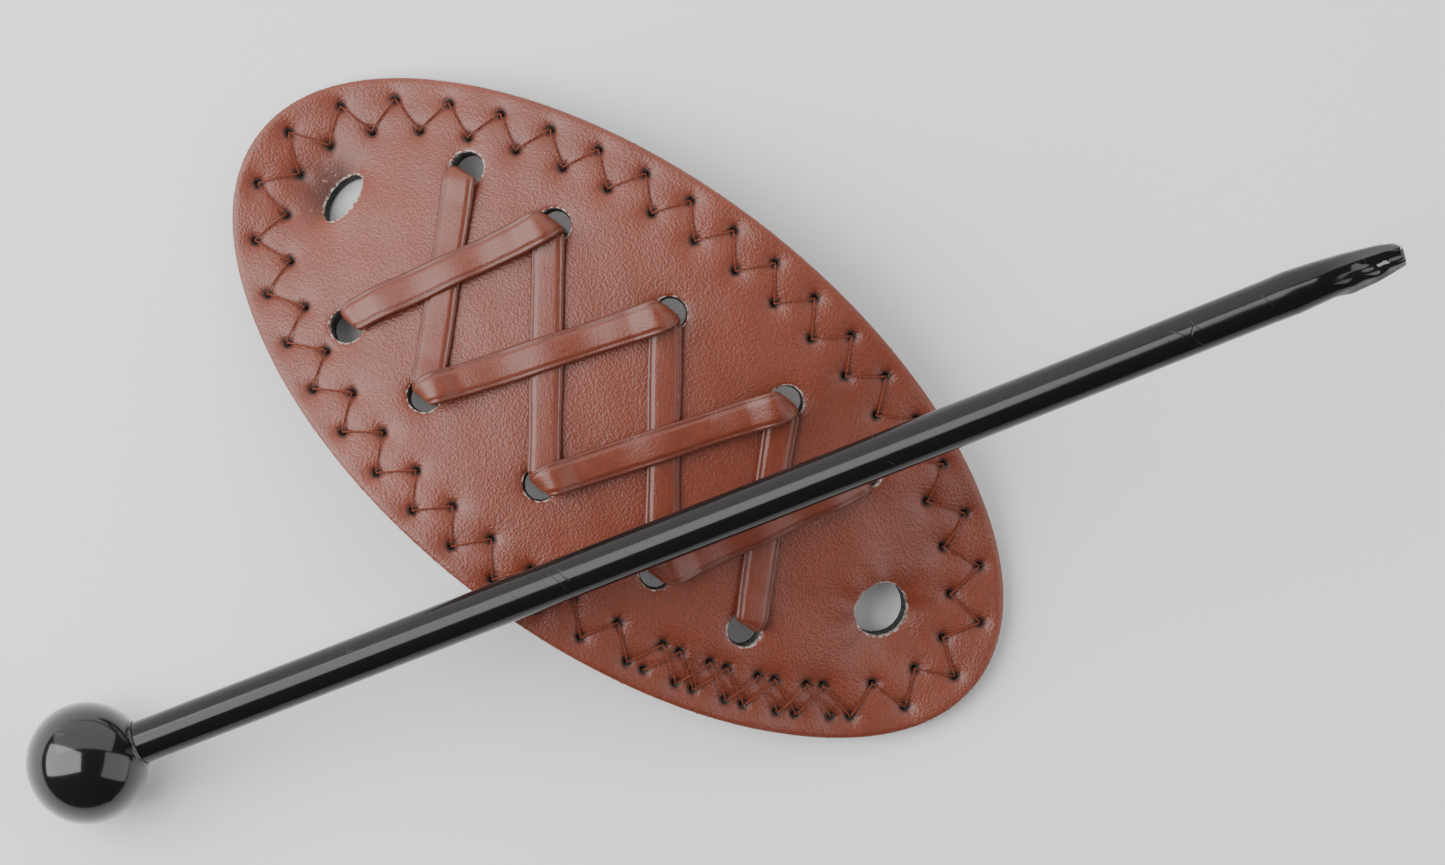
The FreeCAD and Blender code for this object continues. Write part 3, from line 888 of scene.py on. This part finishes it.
tip_closing = np.array([0.97, 0.86, 0.6, 0.3, 0.0])
tip_steps = len(tip_closing)
stick_s = np.concatenate([
    np.linspace(shaft_foot, 150, 150),
    np.linspace(150.6, tip_end - 0.25, 110),
    np.full(tip_steps, tip_end - 0.05),
])
shaft_sides = 56
shaft_turns = np.arange(shaft_sides) * math.tau / shaft_sides
S, A = np.meshgrid(stick_s, shaft_turns, indexing="ij")
left = tip_end - S
upper_wide = np.interp(
    left, [0.0, 0.6, 3.5, 6.9, 10.5, 14.0, 17.0], [0.95, 1.15, 1.62, 2.13, 2.48, 2.72, shaft_radius]
)
lower_wide = np.interp(
    left, [0.0, 0.6, 4.0, 8.0, 10.7, 14.0, 17.0], [1.72, 1.80, 2.22, 2.42, 2.55, 2.72, shaft_radius]
)
pinch = ease(S, tip_end - 10.5, tip_end - 2.5)
half_high = shaft_radius + 0.05 * bell(left - 14.0, 2.2) - pinch * 1.70
side_u, side_v = np.cos(A), np.sin(A)
half_wide = np.where(side_u > 0, upper_wide, lower_wide)
aside = half_wide * np.sign(side_u) * np.abs(side_u) ** (1 - 0.3 * pinch)
above = half_high * np.sign(side_v) * np.abs(side_v) ** (1 + 0.1 * pinch)
ridge = 0.34 * bell(aside - 0.25 - 0.06 * left, 0.30)
groove = 0.26 * bell(aside + 0.55, 0.35)
jaw_teeth = 0.13 * np.sin(S * 1.75 + aside * 2.0) * ease(-aside, -0.8, 0.6)
above += pinch * (side_v > 0) * (ridge - groove + jaw_teeth)
flash = ease(S, tip_end - 9.5, tip_end - 7.0) * bell(A - math.pi, 0.18)
aside -= (0.42 - 0.10 * ease(S, tip_end - 4, tip_end)) * flash
above -= 0.30 * flash
closing = np.append(np.ones(len(stick_s) - tip_steps), tip_closing)[:, None]
slant = 0.62 * np.clip(aside * closing - 0.1, 0, None) ** 2 * ease(S, tip_end - 2.5, tip_end)
waves = 0.10 * np.sin(aside * 4.1 + 0.7) * ease(S, tip_end - 1.2, tip_end)
slanted = S - slant + waves + 0.12 * (1 - closing ** 2)
shaft_points = on_stick(slanted, aside * closing, above * closing).reshape(-1, 3)
foot = np.arange(shaft_sides)
foot_cap = np.stack([np.roll(foot, -1), foot, np.full(shaft_sides, len(shaft_points))], -1)
foot_middle = on_stick(np.array([shaft_foot]), np.zeros(1), np.zeros(1))
shaft_points = np.concatenate([shaft_points, foot_middle])
shaft_faces = np.concatenate([halved(grid_quads(len(stick_s), shaft_sides)), foot_cap])
plastic = Finish("black_plastic", Specular_IOR_Level=0.36, Coat_Roughness=0.04)
plastic_cloud = plastic.noise(60.0, 3.0)
along_scratches = plastic.node(
    "ShaderNodeMapping",
    {
        "Vector": plastic.here,
        "Rotation": (0.0, 0.2, -stick_turn),
        "Scale": (0.35, 1.6, 1.0),
    },
)
scratch = 1 - plastic.cells(150.0, along_scratches, "DISTANCE_TO_EDGE").step(0.0, 0.009)
scratch = scratch * plastic.noise(240.0, 2.0).step(0.58, 0.68)
plastic.feed(
    Base_Color=(scratch * 0.15).blend((0.0072, 0.0064, 0.0067), (0.05, 0.045, 0.045)),
    Roughness=0.10 + 0.08 * plastic_cloud + 0.20 * scratch,
    Coat_Weight=plastic.mark("polish") * 0.5,
)
plastic.bump((plastic_cloud, 0.00008), (1 - scratch, 0.00002))
shaft_polish = np.append(pinch, 0.0) * 2.0
build(
    "stick_shaft_rod", shaft_points, shaft_faces, plastic, "stick",
    ["stick_shaft"], {"polish": shaft_polish},
)

# ---------------------------------------------------------------------------------------------
# The ball: moulded in the same plastic with a blind socket that the shaft is glued into. A little
# glue stands round the socket's mouth, and one small nick shows where it has been dropped.
ball_sides, mouth_rings = 96, 3
ball_back, glue_start, glue_top, mouth = (math.pi - short for short in (0.42, 0.40, 0.385, 0.358))
ball_turns = np.arange(ball_sides) * math.tau / ball_sides
ball_polar = np.concatenate([
    [0.0],
    np.linspace(0.02, ball_back, 84),
    np.linspace(glue_start, mouth, 8),
])
P, A = np.meshgrid(ball_polar, ball_turns, indexing="ij")
ball_wave = 0.012
radius = ball_radius - ball_wave + ball_wave * np.sin(3 * P + 2 * A) * np.sin(P)
ball_along = 0.25 * bell(P - glue_top, 0.03) - radius * np.cos(P)
nick = np.exp(-(((P - 1.9) / 0.035) ** 2 + ((A - 2.2) / 0.12) ** 2))
ball_out = radius * np.sin(P) * (1 - 0.02 * nick)
# The socket's wall goes down to the shaft's foot, and its last ring closes in one point
socket_wall = np.linspace(ball_along[-1].mean() - 0.1, shaft_foot, mouth_rings)[:, None]
ball_along = np.concatenate([
    ball_along,
    np.repeat(socket_wall, ball_sides, 1),
    np.full((1, ball_sides), shaft_foot),
])
ball_out = np.concatenate([
    ball_out,
    np.full((mouth_rings, ball_sides), shaft_radius + 0.03),
    np.zeros((1, ball_sides)),
])
A = np.concatenate([A, A[:mouth_rings + 1]])
straight = ball_along[..., None] * stick_ahead
beside = (ball_out * np.cos(A))[..., None] * stick_aside
raised = (ball_out * np.sin(A))[..., None] * stick_up
ball_points = (ball_middle + straight + beside + raised).reshape(-1, 3)
ball_faces = halved(grid_quads(len(ball_along), ball_sides))
corners = ball_points[ball_faces]
crossed = np.cross(corners[:, 1] - corners[:, 0], corners[:, 2] - corners[:, 0])
smallest_area = 1e-6
ball_faces = ball_faces[np.linalg.norm(crossed, axis=1) / 2 > smallest_area]
build(
    "stick_ball_glued", ball_points, ball_faces, plastic, "stick", ["stick_ball"],
    {"polish": np.ones(len(ball_points))},
)
